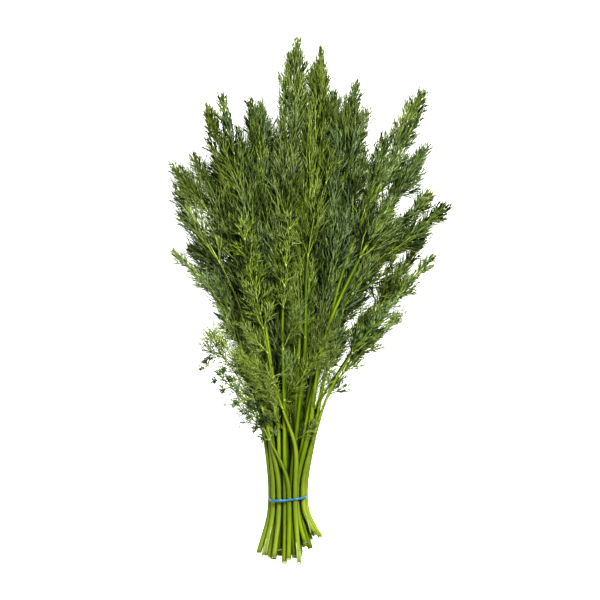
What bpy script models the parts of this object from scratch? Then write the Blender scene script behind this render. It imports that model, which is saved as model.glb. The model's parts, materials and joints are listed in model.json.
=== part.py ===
"""A bunch of cut dill, held by one rubber band and lying on its side.

Metres, +Z up. The bunch lies on z = 0 with its cut ends towards -Y and its frond tips
towards +Y. The origin is under the middle of the bunch's box.

Each sprig is one stem with the leaf that grew on it. Its solid is a loft of eight-sided
rings, all of them in planes of constant y: small and round along the stem, wide and flat
around the leaf. The sprigs lie in seven layers, side by side within a layer, so that no two
solids meet although the layers cross each other.
"""

import math

import bmesh
import bpy

MM = 0.001

# The bundle where the band holds it
BAND_X = -14.5 * MM             # middle of the bundle at the band
BAND_Y = -136 * MM
NECK_HALF = 13 * MM             # the stems run parallel this far to each side of the band
STEM_PITCH = 3.45 * MM          # stem to stem across a layer, at the band
TOP_SHIFT = 2.6 * MM            # the top layer's stems sit to the right of the middle
LAYER_PITCH_BAND = 3.35 * MM    # layer to layer, at the band
LAYER_PITCH_LEAF = 5.9 * MM     # layer to layer, where the leaves are
LAYER_RISE = (-125 * MM, -5 * MM)   # the layers open up between these two y
CUT_PITCH = 6.2 * MM            # stem to stem across a layer, at the cut ends
CUT_X = -13.5 * MM              # middle of the bundle at the cut ends
CUT_Y = -176 * MM

# One sprig
STEM_RADIUS = 1.6 * MM
NECK_RADIUS = 1.1 * MM          # stem where its leaf begins
TIP_RADIUS = 0.9 * MM
GAP = 0.3 * MM                  # clear space between two neighbours
RING_SIDES = 8
RING_STEP = 22 * MM             # ring to ring along the bunch

# The heap is lower at its sides and at its tips
SIDE_REACH = 105 * MM
SIDE_DROP = 0.42
TIP_REACH = (70 * MM, 190 * MM)
TIP_DROP = 0.35

# The rubber band
BAND_THICKNESS = 1.1 * MM
BAND_WIDTH = 1.8 * MM
BAND_SLANT = 0.13               # rise along y for each metre to the right
BAND_LEAN = -0.30               # rise along y for each metre of height
BAND_SEGMENTS = 44
BAND_SQUARENESS = 2.6           # 2 is an ellipse; the corners of the bundle fill it out
BAND_SLACK = 0.9 * MM           # room above and below the layers

STEM_GREEN = (0.33, 0.45, 0.03)
LEAF_DARK = (0.045, 0.085, 0.035)
LEAF_LIGHT = (0.12, 0.20, 0.035)
BAND_BLUE = (0.10, 0.33, 0.58)

# Layers from the lowest up, sprigs from left to right. For each sprig, in millimetres:
# how far its cut end stands out past the mean cut, the points its stem passes above the
# band, its tip, where the leaf begins (y), and the leaf's widest half-width.
LAYERS = (
    (
        (-1, ((-28, -83), (-50, -20)), (-86, 44), -70, 13),
        (2, ((-21, -83), (-34, 21)), (-50, 112), -50, 13),
        (-3, ((-8, -83), (12, 14)), (30, 134), -45, 13),
        (-6, ((1, -83), (34, -30)), (82, 46), -75, 13),
    ),
    (
        (-2, ((-29, -90), (-54, 4)), (-93, 66), -70, 12),
        (3, ((-22, -83), (-40, 34)), (-60, 118), -45, 12),
        (-4, ((-15, -83), (-17, 41)), (-21, 156), -30, 12),
        (1, ((-8, -83), (10, 34)), (17, 145), -40, 12),
        (-8, ((4, -83), (27, 2)), (85, 74), -60, 12),
    ),
    (
        (-4, ((-29, -97), (-45, -60)), (-74, -20), -85, 10),
        (0, ((-25, -83), (-46, 22)), (-81, 101), -40, 12),
        (-3, ((-18, -83), (-25, 28)), (-33, 137), -35, 12),
        (3, ((-11, -83), (0, 28)), (9, 176), 0, 12),
        (-4, ((-3, -83), (26, 14)), (83, 109), -35, 12),
        (-12, ((6, -83), (22, -52)), (68, -6), -62, 11),
    ),
    (
        (0, ((-30, -92), (-57, -6)), (-97, 36), -65, 10),
        (3, ((-26, -84), (-46, 21)), (-95, 94), -30, 12),
        (-2, ((-22, -83), (-39, 24)), (-71, 135), 0, 12),
        (1, ((-16, -83), (-24, 22)), (-41, 140), 5, 11),
        (2, ((-10, -83), (-7, 21)), (-6, 168), 20, 13),
        (-3, ((-3, -83), (14, 14)), (33, 151), 10, 13),
        (-11, ((5, -83), (30, 6)), (97, 66), -25, 12),
    ),
    (
        (1, ((-27, -88), (-50, 2)), (-96, 84), 0, 12),
        (4, ((-21, -83), (-40, 44)), (-61, 143), 45, 11),
        (-2, ((-15, -83), (-19, 10)), (-8, 181), 60, 11),
        (3, ((-9, -83), (-3, 34)), (10, 158), 40, 12),
        (-5, ((-2, -83), (9, -41), (26, 28)), (80, 145), 50, 12),
        (-14, ((6, -83), (27, -40)), (89, 34), -50, 12),
    ),
    (
        (2, ((-27, -90), (-43, -48)), (-73, -16), -78, 9),
        (6, ((-17, -70), (-18, -8)), (-12, 62), -12, 15),
        (1, ((-8, -83), (-3, -46), (0, 40)), (18, 98), 30, 13),
        (-8, ((1, -83), (11, -24), (33, 25)), (58, 70), 10, 13),
    ),
    (
        (3, ((-26, -96), (-43, -70)), (-77, -38), -92, 9),
        (5, ((-9, -98), (-22, -66), (-33, -10)), (-47, 56), -60, 13),
    ),
)


def ease(value, start, end):
    """0 before start, 1 after end, smooth between them."""
    t = min(1.0, max(0.0, (value - start) / (end - start)))
    return t * t * (3 - 2 * t)


def smooth_through(points, y):
    """x at height y on a smooth curve through (x, y) points in rising order of y."""
    last = len(points) - 1
    slopes = []
    for k in range(last + 1):
        before, after = points[max(0, k - 1)], points[min(last, k + 1)]
        slopes.append((after[0] - before[0]) / (after[1] - before[1]))
    k = 0
    while k < last - 1 and y > points[k + 1][1]:
        k += 1
    (x0, y0), (x1, y1) = points[k], points[k + 1]
    length = y1 - y0
    t = min(1.0, max(0.0, (y - y0) / length))
    return (
        (2 * t**3 - 3 * t**2 + 1) * x0
        + (t**3 - 2 * t**2 + t) * length * slopes[k]
        + (-2 * t**3 + 3 * t**2) * x1
        + (t**3 - t**2) * length * slopes[k + 1]
    )


class Sprig:
    """The route and the outline of one sprig."""

    def __init__(self, layer, place, count, row):
        cut_out, passes, tip, leaf_from, half_width = row
        across = place - (count - 1) / 2
        self.layer = layer
        self.cut_y = CUT_Y - cut_out * MM
        self.tip_y = tip[1] * MM
        self.leaf_from = leaf_from * MM
        self.half_width = half_width * MM
        shift = TOP_SHIFT if layer == len(LAYERS) - 1 else 0
        band_x = BAND_X + across * STEM_PITCH + shift
        self.points = [
            (CUT_X + across * CUT_PITCH + shift, self.cut_y),
            (band_x, BAND_Y - NECK_HALF),
            (band_x, BAND_Y + NECK_HALF),
        ]
        self.points += [(x * MM, y * MM) for x, y in passes]
        self.points.append((tip[0] * MM, self.tip_y))

    def x(self, y):
        """Middle of the sprig. The stems run straight and parallel through the band."""
        if y <= BAND_Y - NECK_HALF:
            return smooth_through(self.points[:2], y)
        if y <= BAND_Y + NECK_HALF:
            return self.points[1][0]
        return smooth_through(self.points[2:], y)

    def stem_radius(self, y):
        return STEM_RADIUS + (NECK_RADIUS - STEM_RADIUS) * ease(y, BAND_Y + NECK_HALF, self.leaf_from)

    def wanted_half_width(self, y):
        """Stem radius below the leaf, then a plume that is widest at two fifths of its length."""
        if y <= self.leaf_from:
            return self.stem_radius(y)
        along = (y - self.leaf_from) / (self.tip_y - self.leaf_from)
        swell = math.sin(math.pi * min(1.0, along) ** 0.75)
        return NECK_RADIUS + (TIP_RADIUS - NECK_RADIUS) * along + self.half_width * swell

    def opened(self, y):
        """0 on the stem, 1 where the leaf has opened."""
        return ease(y, self.leaf_from, self.leaf_from + 0.3 * (self.tip_y - self.leaf_from))

    def leafy(self, y):
        """0 on the stem and at the tip, 1 where the leaf fills its layer."""
        fall = ease(y, self.tip_y - 0.25 * (self.tip_y - self.leaf_from), self.tip_y)
        return self.opened(y) * (1 - fall)


def ring_heights(sprig):
    """The y of every ring: the cut end, the shared stations between, and the tip."""
    first = BAND_Y - NECK_HALF
    stations = [first, BAND_Y + NECK_HALF]
    while stations[-1] + RING_STEP < sprig.tip_y - RING_STEP / 3:
        stations.append(stations[-1] + RING_STEP)
    return [sprig.cut_y] + stations + [sprig.tip_y]


def half_width(sprig, layer_sprigs, y):
    """The wanted half-width, held in where a neighbour in the same layer is close."""
    room = sprig.wanted_half_width(y)
    for other in layer_sprigs:
        if other is sprig or not other.cut_y - RING_STEP <= y <= other.tip_y + RING_STEP:
            continue
        near = min(max(y, other.cut_y), other.tip_y)
        room = min(room, (abs(other.x(near) - sprig.x(y)) - GAP) / 2)
    return room


def height(x, y, level):
    """z of a point that lies `level` layers up in the heap."""
    open_up = ease(y, *LAYER_RISE)
    pitch = LAYER_PITCH_BAND + (LAYER_PITCH_LEAF - LAYER_PITCH_BAND) * open_up
    side = min(1.0, (x - BAND_X * (1 - open_up)) ** 2 / SIDE_REACH**2)
    pitch *= (1 - SIDE_DROP * side) * (1 - TIP_DROP * ease(y, *TIP_REACH))
    lifted_by_band = (BAND_THICKNESS + BAND_SLACK) * (1 - open_up)
    return lifted_by_band + level * pitch


def ring(sprig, layer_sprigs, y):
    """One ring of the loft, in the plane of constant y."""
    wide = half_width(sprig, layer_sprigs, y)
    mid_x = sprig.x(y)
    pitch = height(mid_x, y, 1) - height(mid_x, y, 0)
    most = 0.5 - GAP / 2 / pitch
    stem = min(most, min(sprig.stem_radius(y), wide) / pitch)
    high = stem + (most - stem) * sprig.leafy(y)
    middle = sprig.layer + 0.5
    if sprig.layer == 0:
        middle += (high - middle) * sprig.opened(y)     # the lowest leaves lie on the surface
    points = []
    for k in range(RING_SIDES):
        angle = 2 * math.pi * (k + 0.5) / RING_SIDES
        x = mid_x + wide * math.cos(angle) / math.cos(math.pi / RING_SIDES)
        level = middle + high * math.sin(angle) / math.cos(math.pi / RING_SIDES)
        points.append((x, y, height(x, y, level)))
    return points


def finish(name, colour, roughness):
    """A plain material for one piece."""
    material = bpy.data.materials.new(name)
    material.use_nodes = True
    surface = material.node_tree.nodes["Principled BSDF"]
    surface.inputs["Base Color"].default_value = (*colour, 1.0)
    surface.inputs["Roughness"].default_value = roughness
    surface.inputs["Metallic"].default_value = 0.0
    material.diffuse_color = (*colour, 1.0)
    return material


def mesh_object(name, vertices, faces, material):
    """A closed mesh with its faces turned outwards."""
    mesh = bpy.data.meshes.new(name)
    mesh.from_pydata(vertices, [], faces)
    work = bmesh.new()
    work.from_mesh(mesh)
    bmesh.ops.recalc_face_normals(work, faces=work.faces)
    work.to_mesh(mesh)
    work.free()
    mesh.shade_smooth()
    mesh.set_sharp_from_angle(angle=math.radians(50))
    mesh.materials.append(material)
    piece = bpy.data.objects.new(name, mesh)
    bpy.context.scene.collection.objects.link(piece)
    return piece


def loft(name, rings, material, closed):
    """Skin a list of rings, capped at both ends or joined into one closed loop."""
    sides = len(rings[0])
    vertices = [point for one in rings for point in one]
    faces = []
    for k in range(len(rings) if closed else len(rings) - 1):
        here, there = k * sides, (k + 1) % len(rings) * sides
        for side in range(sides):
            after = (side + 1) % sides
            faces.append((here + side, here + after, there + after, there + side))
    if not closed:
        faces.append(tuple(range(sides)))
        faces.append(tuple(range(len(vertices) - sides, len(vertices))))
    return mesh_object(name, vertices, faces, material)


def build_sprigs():
    """Every sprig, numbered from the lowest layer up and from left to right."""
    pieces = []
    for layer, rows in enumerate(LAYERS):
        sprigs = [Sprig(layer, place, len(rows), row) for place, row in enumerate(rows)]
        for sprig in sprigs:
            name = f"sprig_{len(pieces) + 1:02d}"
            tone = (len(pieces) * 0.381966) % 1.0
            colour = [dark + (light - dark) * tone for dark, light in zip(LEAF_DARK, LEAF_LIGHT)]
            rings = [ring(sprig, sprigs, y) for y in ring_heights(sprig)]
            pieces.append(loft(name, rings, finish(f"{name}_green", colour, 0.55), closed=False))
    return pieces


def oval(angle, half_x, half_z):
    """A point on a superellipse."""
    reach = 2 / BAND_SQUARENESS
    x = half_x * math.copysign(abs(math.cos(angle)) ** reach, math.cos(angle))
    z = half_z * math.copysign(abs(math.sin(angle)) ** reach, math.sin(angle))
    return x, z


def build_band():
    """The rubber band: an oval hoop round the stems, leaning a little."""
    half_x = STEM_PITCH * max(len(rows) for rows in LAYERS) / 2 + GAP
    half_z = LAYER_PITCH_BAND * len(LAYERS) / 2 + BAND_SLACK
    middle_z = BAND_THICKNESS + BAND_SLACK + LAYER_PITCH_BAND * len(LAYERS) / 2
    corner = 0.3
    section = []
    for k in range(RING_SIDES):
        angle = 2 * math.pi * (k + 0.5) / RING_SIDES
        out = math.copysign(min(abs(math.cos(angle)) + corner, 1.0), math.cos(angle))
        along = math.copysign(min(abs(math.sin(angle)) + corner, 1.0), math.sin(angle))
        section.append((BAND_THICKNESS / 2 * (1 + out), BAND_WIDTH / 2 * along))
    rings = []
    for k in range(BAND_SEGMENTS):
        angle = 2 * math.pi * k / BAND_SEGMENTS
        one = []
        for out, along in section:
            x, z = oval(angle, half_x + out, half_z + out)
            y = BAND_Y + BAND_SLANT * x + BAND_LEAN * z + along
            one.append((BAND_X + x, y, middle_z + z))
        rings.append(one)
    return loft("rubber_band", rings, finish("blue_rubber", BAND_BLUE, 0.5), closed=True)


def centre_on_origin(pieces):
    """Move every piece so that the box of them all stands on the origin."""
    corners = [v.co for piece in pieces for v in piece.data.vertices]
    shift_x = -(min(c.x for c in corners) + max(c.x for c in corners)) / 2
    shift_y = -(min(c.y for c in corners) + max(c.y for c in corners)) / 2
    shift_z = -min(c.z for c in corners)
    for piece in pieces:
        piece.location = (shift_x, shift_y, shift_z)


for old in list(bpy.data.objects):
    bpy.data.objects.remove(old)
centre_on_origin(build_sprigs() + [build_band()])
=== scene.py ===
"""A bunch of fresh dill, held by a blue rubber band and laid on its side."""
import json
import math

import bpy
import numpy as np
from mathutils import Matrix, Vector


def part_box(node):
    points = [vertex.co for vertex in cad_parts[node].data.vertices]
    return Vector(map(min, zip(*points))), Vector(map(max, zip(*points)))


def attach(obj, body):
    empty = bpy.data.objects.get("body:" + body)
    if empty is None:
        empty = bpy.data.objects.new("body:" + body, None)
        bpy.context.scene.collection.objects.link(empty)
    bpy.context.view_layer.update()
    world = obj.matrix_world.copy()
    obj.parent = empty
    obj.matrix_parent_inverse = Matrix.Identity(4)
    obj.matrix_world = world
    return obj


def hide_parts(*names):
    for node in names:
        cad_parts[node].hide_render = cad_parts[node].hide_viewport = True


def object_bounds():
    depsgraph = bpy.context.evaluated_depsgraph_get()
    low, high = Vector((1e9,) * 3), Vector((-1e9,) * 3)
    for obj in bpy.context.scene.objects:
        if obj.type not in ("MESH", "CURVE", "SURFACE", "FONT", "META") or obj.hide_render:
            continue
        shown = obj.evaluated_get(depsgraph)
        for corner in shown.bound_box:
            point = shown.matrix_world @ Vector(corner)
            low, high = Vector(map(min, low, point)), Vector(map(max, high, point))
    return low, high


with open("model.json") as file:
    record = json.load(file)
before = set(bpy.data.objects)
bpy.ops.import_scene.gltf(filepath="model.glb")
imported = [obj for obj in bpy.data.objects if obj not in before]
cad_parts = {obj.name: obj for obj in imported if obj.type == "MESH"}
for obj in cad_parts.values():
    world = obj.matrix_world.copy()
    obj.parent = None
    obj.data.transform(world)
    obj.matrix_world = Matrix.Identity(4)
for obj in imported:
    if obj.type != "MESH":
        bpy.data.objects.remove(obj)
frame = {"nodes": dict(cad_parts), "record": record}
cad_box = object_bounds()


# ----------------------------------------
# Dill stems
# Each sprig is one cut stem with the leaf that grew on it. The stem is a thin ribbed tube,
# fresh and yellow-green, that tapers from its knife cut to the tip of the leaf. It lies
# where the sprig's solid lies, so its route is read from that solid.
# ----------------------------------------
MM = 0.001
STATION_STEP = 3.0 * MM         # how closely the route is read along the bunch
STEM_RADIUS = 1.75 * MM         # the most that is taken from a solid
STEM_OVER = 1.05                # the ribbed skin's radius to that one
OLDER_OVER = 0.24               # added to it for the oldest stems
OLD_BELOW = 16 * MM             # stems lower than this are older and thicker
STEM_SIDES = 18
RIB_COUNT = 9
RIB_DEPTH = 0.08                # of the radius
LEAF_OPENS = 2.1 * MM           # half-width at which the solid has left the stem
LEAF_ABOVE = 15 * MM            # the least height of a leaf's start above the band
THINS_ABOVE = 40 * MM           # a stem thins from this height above the band, or from
THINS_BEFORE = 30 * MM          # this far below its leaf where that is lower
MIDRIB_FOOT = 0.50 * MM         # added to the midrib's radius where the leaf begins
MIDRIB_TIP = 0.25 * MM          # radius of the midrib at its very end
STOUT = (27, 31, 32)            # sprigs on top, each with a thicker midrib
STOUT_FOOT = 2.3                # how many times thicker it begins
BUNCH_MIDDLE = -14.5 * MM       # where the stems' middle line crosses the band
FEET_SPREAD = 0.16              # how much further apart the stems stand below the band
SPREAD_FROM = -72 * MM          # the spreading begins at this height
SPREAD_WITHIN = 45 * MM         # and is full this much lower
RIM = 0.2                       # width of the skin's cut edge, of the radius
PITH = 0.45                     # where the pith begins, of the radius
PITH_DEPTH = 0.5 * MM           # how far in the pith lies
STEM_TIP = 0.6 * MM             # length of the closed point past the last station
PATTERN_LENGTH = 0.40           # length of stem that the skin's pattern is laid along
PATTERN_ROUND_MM = 28.0         # what the whole pattern covers on a stem, round it
PATTERN_ALONG_MM = 415.8        # and along it

band_low, band_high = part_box("rubber_band")
band_y = (band_low[1] + band_high[1]) / 2


def read_route(name):
    """Middle and half-width of a sprig's solid at stations along the bunch."""
    mesh = frame["nodes"][name].data
    corners = np.array([v.co for v in mesh.vertices])
    edges = np.array([e.vertices for e in mesh.edges])
    start, end = corners[edges[:, 0]], corners[edges[:, 1]]
    low, high = corners[:, 1].min(), corners[:, 1].max()
    count = int((high - low) / STATION_STEP) + 2
    heights = np.linspace(low + 0.02 * MM, high - 0.02 * MM, count)
    middles, half_widths = [], []
    for y in heights:
        crosses = (start[:, 1] - y) * (end[:, 1] - y) <= 0
        crosses &= np.abs(start[:, 1] - end[:, 1]) > 1e-9
        a, b = start[crosses], end[crosses]
        share = ((y - a[:, 1]) / (b[:, 1] - a[:, 1]))[:, None]
        cut = a + share * (b - a)
        lowest, highest = cut.min(axis=0), cut.max(axis=0)
        middles.append((lowest + highest) / 2)
        half_widths.append((highest[0] - lowest[0]) / 2)
    return np.array(middles), np.array(half_widths)


def unit(vectors):
    return vectors / np.maximum(np.linalg.norm(vectors, axis=-1, keepdims=True), 1e-12)


def soften(points, passes):
    """Round off a chain of points without moving its ends."""
    points = points.copy()
    for _ in range(passes):
        points[1:-1] = (points[:-2] + 2 * points[1:-1] + points[2:]) / 4
    return points


class Route:
    """A sprig's smooth middle line, with the stem's radius and the leaf's half-width."""

    def __init__(self, name):
        self.number = int(name[-2:])
        middles, wide = read_route(name)
        self.points = soften(middles, 12)
        # The stems stand a little further apart than their solids, most of all at the foot
        apart = np.clip((SPREAD_FROM - self.points[:, 1]) / SPREAD_WITHIN, 0, 1)
        spread = 1 + FEET_SPREAD * apart
        self.points[:, 0] = BUNCH_MIDDLE + (self.points[:, 0] - BUNCH_MIDDLE) * spread
        self.y = self.points[:, 1]
        self.wide = soften(wide, 3)
        above_band = self.y > band_y + LEAF_ABOVE
        self.leaf_from = self.y[np.argmax(above_band & (wide > LEAF_OPENS))]
        self.tip = self.y[-1]
        older = np.clip((OLD_BELOW - self.points[:, 2]) / (6 * MM), 0, 1)
        stem = np.minimum(self.wide, STEM_RADIUS) * (STEM_OVER + OLDER_OVER * older)
        # The stem thins towards the leaf and goes on in it as the midrib
        along = np.clip((self.y - self.leaf_from) / (self.tip - self.leaf_from), 0, 1)
        foot = MIDRIB_FOOT * (STOUT_FOOT if self.number in STOUT else 1.0)
        midrib = foot * (1 - along) ** 1.8 + MIDRIB_TIP
        thins_from = min(band_y + THINS_ABOVE, self.leaf_from - THINS_BEFORE)
        climb = np.clip((self.y - thins_from) / (self.leaf_from - thins_from), 0, 1)
        self.radius = stem + (np.minimum(stem, midrib) - stem) * climb
        self.radius = soften(self.radius, 4)

    def at(self, y):
        return np.stack([np.interp(y, self.y, self.points[:, k]) for k in range(3)], axis=-1)

    def direction(self, y):
        return unit(self.at(y + 2 * MM) - self.at(y - 2 * MM))


routes = {name: Route(name) for name in sorted(frame["nodes"]) if name.startswith("sprig")}


class Skin:
    """Collects the faces of one piece: vertices, faces of 3 or 4 corners, their places on the
    piece's pattern, and which of its materials they wear. On the pattern, leaf threads lie by
    tone from 0.02 to 0.46 across and by hue upwards. The cut flesh lies about 0.49, and the
    stem is unrolled from 0.52 to 0.98."""

    def __init__(self):
        self.vertices, self.corners, self.counts = [], [], []
        self.places, self.wears = [], []
        self.total = 0

    def add(self, vertices, corners, places, wears):
        """corners is an array of faces with the same number of corners each. Faces that use
        vertices already added come with None in their place."""
        self.corners.append((corners + self.total).ravel())
        self.counts.append(np.full(len(corners), corners.shape[1]))
        self.places.append(places.reshape(-1, 2))
        self.wears.append(np.full(len(corners), wears))
        if vertices is not None:
            self.vertices.append(vertices)

    def close(self, count):
        """The next faces count their corners from after these vertices."""
        self.total += count

    def build(self, name, materials):
        mesh = bpy.data.meshes.new(name)
        vertices = np.concatenate(self.vertices)
        corners = np.concatenate(self.corners)
        counts = np.concatenate(self.counts)
        mesh.vertices.add(len(vertices))
        mesh.vertices.foreach_set("co", vertices.astype(np.float32).ravel())
        mesh.loops.add(len(corners))
        mesh.loops.foreach_set("vertex_index", corners.astype(np.int32))
        mesh.polygons.add(len(counts))
        starts = np.concatenate([[0], np.cumsum(counts)[:-1]])
        mesh.polygons.foreach_set("loop_start", starts.astype(np.int32))
        for material in materials:
            mesh.materials.append(material)
        mesh.polygons.foreach_set("material_index", np.concatenate(self.wears).astype(np.int32))
        layer = mesh.uv_layers.new(name="OFBake")
        layer.uv.foreach_set("vector", np.concatenate(self.places).astype(np.float32).ravel())
        mesh.update(calc_edges=True)
        mesh.shade_smooth()
        piece = bpy.data.objects.new(name, mesh)
        bpy.context.scene.collection.objects.link(piece)
        return piece


def add_stem(skin, route, rng):
    """The stem's tube, with a slanted knife cut at its foot and a closed tip."""
    points, radius = route.points, route.radius
    forward = unit(np.gradient(points, axis=0))
    side = unit(np.cross(forward, (0, 0, 1)))
    up = np.cross(side, forward)
    turn = np.linspace(0, 2 * np.pi, STEM_SIDES, endpoint=False)
    phase = rng.uniform(0, 2 * np.pi)
    twist = np.linspace(0, rng.uniform(-0.8, 0.8), len(points))[:, None]
    ribs = 1 + RIB_DEPTH * np.cos(RIB_COUNT * (turn[None] + twist) + phase)
    reach = (radius[:, None] * ribs)[..., None]
    across, above = np.cos(turn)[None, :, None], np.sin(turn)[None, :, None]
    outward = across * side[:, None] + above * up[:, None]
    rings = points[:, None] + reach * outward
    # The knife's slant, which the first rings take up
    slant = math.tan(math.radians(rng.uniform(5, 42)))
    lean = outward[0] @ unit(np.array([rng.normal(0, 0.6), 0, 1.0]))
    for ring, share in enumerate((1.0, 0.6, 0.25)):
        rings[ring, :, 1] += share * slant * lean * radius[0]
    # The cut face: a rim of skin, then the pale pith a little way in
    foot = rings[0]
    rim = foot + (points[0] - foot) * RIM
    pith = foot + (points[0] - foot) * PITH + (0, PITH_DEPTH, 0)
    tip = points[-1:] + (0, STEM_TIP, 0)
    vertices = np.concatenate([rings.reshape(-1, 3), rim, pith, pith.mean(axis=0)[None], tip])
    count, sides = len(points), STEM_SIDES
    base = np.arange(count - 1)[:, None] * sides
    here = np.arange(sides)
    after = (here + 1) % sides
    walls = np.stack([base + here, base + sides + here, base + sides + after, base + after],
                     axis=-1)
    steps = np.linalg.norm(np.diff(points, axis=0), axis=1)
    travelled = np.concatenate([[0], np.cumsum(steps)])
    v = 0.02 + 0.96 * travelled / PATTERN_LENGTH
    u0 = 0.52 + 0.46 * here / sides
    u1 = 0.52 + 0.46 * (here + 1) / sides
    places = np.zeros((count - 1, sides, 4, 2))
    places[..., 0, 0] = places[..., 1, 0] = u0
    places[..., 2, 0] = places[..., 3, 0] = u1
    places[..., 0, 1] = places[..., 3, 1] = v[:-1, None]
    places[..., 1, 1] = places[..., 2, 1] = v[1:, None]
    skin.add(vertices, walls.reshape(-1, 4), places, 0)
    rim_at, pith_at, centre_at = count * sides, (count + 1) * sides, (count + 2) * sides
    tip_at = centre_at + 1
    edge = np.stack([here, after, rim_at + after, rim_at + here], axis=-1)
    well = np.stack([rim_at + here, rim_at + after, pith_at + after, pith_at + here], axis=-1)
    floor = np.stack([pith_at + here, pith_at + after, np.full(sides, centre_at)], axis=-1)
    last = (count - 1) * sides
    point = np.stack([last + after, last + here, np.full(sides, tip_at)], axis=-1)
    # The cut face has its own small patch of the pattern, from its rim to its middle
    round_it = 0.3 + 0.4 * np.stack([here, after + sides * (after < here)], axis=-1) / sides
    for faces, outer in ((edge, 0.475), (well, 0.485), (floor, 0.495)):
        patch = np.zeros((sides, 4, 2))
        patch[:, :2, 0], patch[:, 2:, 0] = outer, outer + 0.009
        patch[:, :2, 1], patch[:, 2:, 1] = round_it, round_it[:, ::-1]
        skin.add(None, faces, patch[:, :faces.shape[1]], 2)
    cap = np.zeros((sides, 3, 2)) + (0, v[-1])
    cap[:, 0, 0], cap[:, 1, 0], cap[:, 2, 0] = u1, u0, (u0 + u1) / 2
    cap[:, 2, 1] += 0.004
    skin.add(None, point, cap, 0)
    skin.close(len(vertices))


def linear(hex_colour):
    """sRGB hex to a linear colour with alpha."""
    parts = [int(hex_colour[k:k + 2], 16) / 255 for k in (1, 3, 5)]
    return [c / 12.92 if c <= 0.04045 else ((c + 0.055) / 1.055) ** 2.4 for c in parts] + [1.0]


def node(tree, kind, values=(), links=(), stops=(), **settings):
    """Add a node, set its properties, socket values and colour stops, and link what feeds it.
    stops are (position, hex colour)."""
    made = tree.nodes.new(kind)
    for key, value in settings.items():
        setattr(made, key, value)
    for socket, value in dict(values).items():
        made.inputs[socket].default_value = value
    for socket, source in dict(links).items():
        tree.links.new(source, made.inputs[socket])
    if stops:
        elements = made.color_ramp.elements
        while len(elements) < len(stops):
            elements.new(0.5)
        for element, (position, colour) in zip(elements, stops):
            element.position = position
            element.color = linear(colour)
    return made


def new_material(name, roughness, specular=0.5, ior=1.45):
    material = bpy.data.materials.new(name)
    material.use_nodes = True
    surface = material.node_tree.nodes["Principled BSDF"]
    surface.inputs["Roughness"].default_value = roughness
    surface.inputs["Specular IOR Level"].default_value = specular
    surface.inputs["IOR"].default_value = ior
    return material, material.node_tree, surface


def cells(round_mm, along_mm):
    """The scale at which a pattern's cells have this size on a stem."""
    return (PATTERN_ROUND_MM / round_mm, PATTERN_ALONG_MM / along_mm, 1.0)


# Fresh stem skin: a smooth waxy cuticle over fibres that run the length of the stem. It
# gives long pale and dark streaks and a soft highlight down the middle. The real fibres are
# 0.1 mm wide, which is too fine to show, so the streaks are drawn 2 mm wide.
def stem_material(name, dark, mid, light):
    material, tree, surface = new_material(name, 0.5, 0.25)
    place = node(tree, "ShaderNodeUVMap", uv_map="OFBake").outputs["UV"]
    stretch = node(tree, "ShaderNodeMapping", {"Scale": cells(2.0, 69.3)}, {"Vector": place})
    fibres = node(tree, "ShaderNodeTexNoise", {"Scale": 1.0, "Detail": 4.0, "Roughness": 0.7},
                  {"Vector": stretch.outputs["Vector"]})
    slow = node(tree, "ShaderNodeMapping", {"Scale": cells(5.6, 37.8)}, {"Vector": place})
    patches = node(tree, "ShaderNodeTexNoise", {"Scale": 1.0, "Detail": 2.0},
                   {"Vector": slow.outputs["Vector"]})
    fine = node(tree, "ShaderNodeMath", {1: 0.6}, {0: fibres.outputs["Fac"]},
                operation="MULTIPLY")
    both = node(tree, "ShaderNodeMath", {1: 0.4},
                {0: patches.outputs["Fac"], 2: fine.outputs[0]}, operation="MULTIPLY_ADD")
    # Paler towards the foot
    parts = node(tree, "ShaderNodeSeparateXYZ", links={"Vector": place})
    foot = node(tree, "ShaderNodeMapRange",
                {"From Min": 0.06, "From Max": 0.24, "To Min": 0.045, "To Max": 0.0},
                {"Value": parts.outputs["Y"]})
    shifted = node(tree, "ShaderNodeMath",
                   links={0: both.outputs[0], 1: foot.outputs["Result"]}, operation="ADD")
    green = node(tree, "ShaderNodeValToRGB", links={"Fac": shifted.outputs[0]},
                 stops=((0.43, dark), (0.52, mid), (0.63, light)))
    # Small reddish-brown rub marks
    marks = node(tree, "ShaderNodeMapping", {"Scale": cells(0.7, 5.94)}, {"Vector": place})
    rubbed = node(tree, "ShaderNodeTexNoise", {"Scale": 1.0, "Detail": 1.0},
                  {"Vector": marks.outputs["Vector"]})
    share = node(tree, "ShaderNodeMapRange", {"From Min": 0.72, "From Max": 0.76, "To Max": 0.6},
                 {"Value": rubbed.outputs["Fac"]})
    colour = node(tree, "ShaderNodeMix", {7: linear("#6E3A14")},
                  {0: share.outputs["Result"], 6: green.outputs["Color"]}, data_type="RGBA")
    tree.links.new(colour.outputs[2], surface.inputs["Base Color"])
    bump = node(tree, "ShaderNodeBump", {"Strength": 0.6, "Distance": 0.0001},
                {"Height": fibres.outputs["Fac"]})
    tree.links.new(bump.outputs["Normal"], surface.inputs["Normal"])
    return material


stem_skins = [
    stem_material("dill_stem_fresh", "#364600", "#506000", "#6C7A06"),
    stem_material("dill_stem_deep", "#283800", "#3E4E00", "#566602"),
    stem_material("dill_stem_grey", "#384604", "#4E5C08", "#68761C"),
    stem_material("dill_stem_yellow", "#424E00", "#5C6A02", "#7A8410"),
    stem_material("dill_stem_pale", "#404E04", "#58660C", "#737F2A"),
]
stalk_skin = stem_material("dill_stalk_thin", "#4A5A16", "#66762A", "#86944C")


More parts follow.
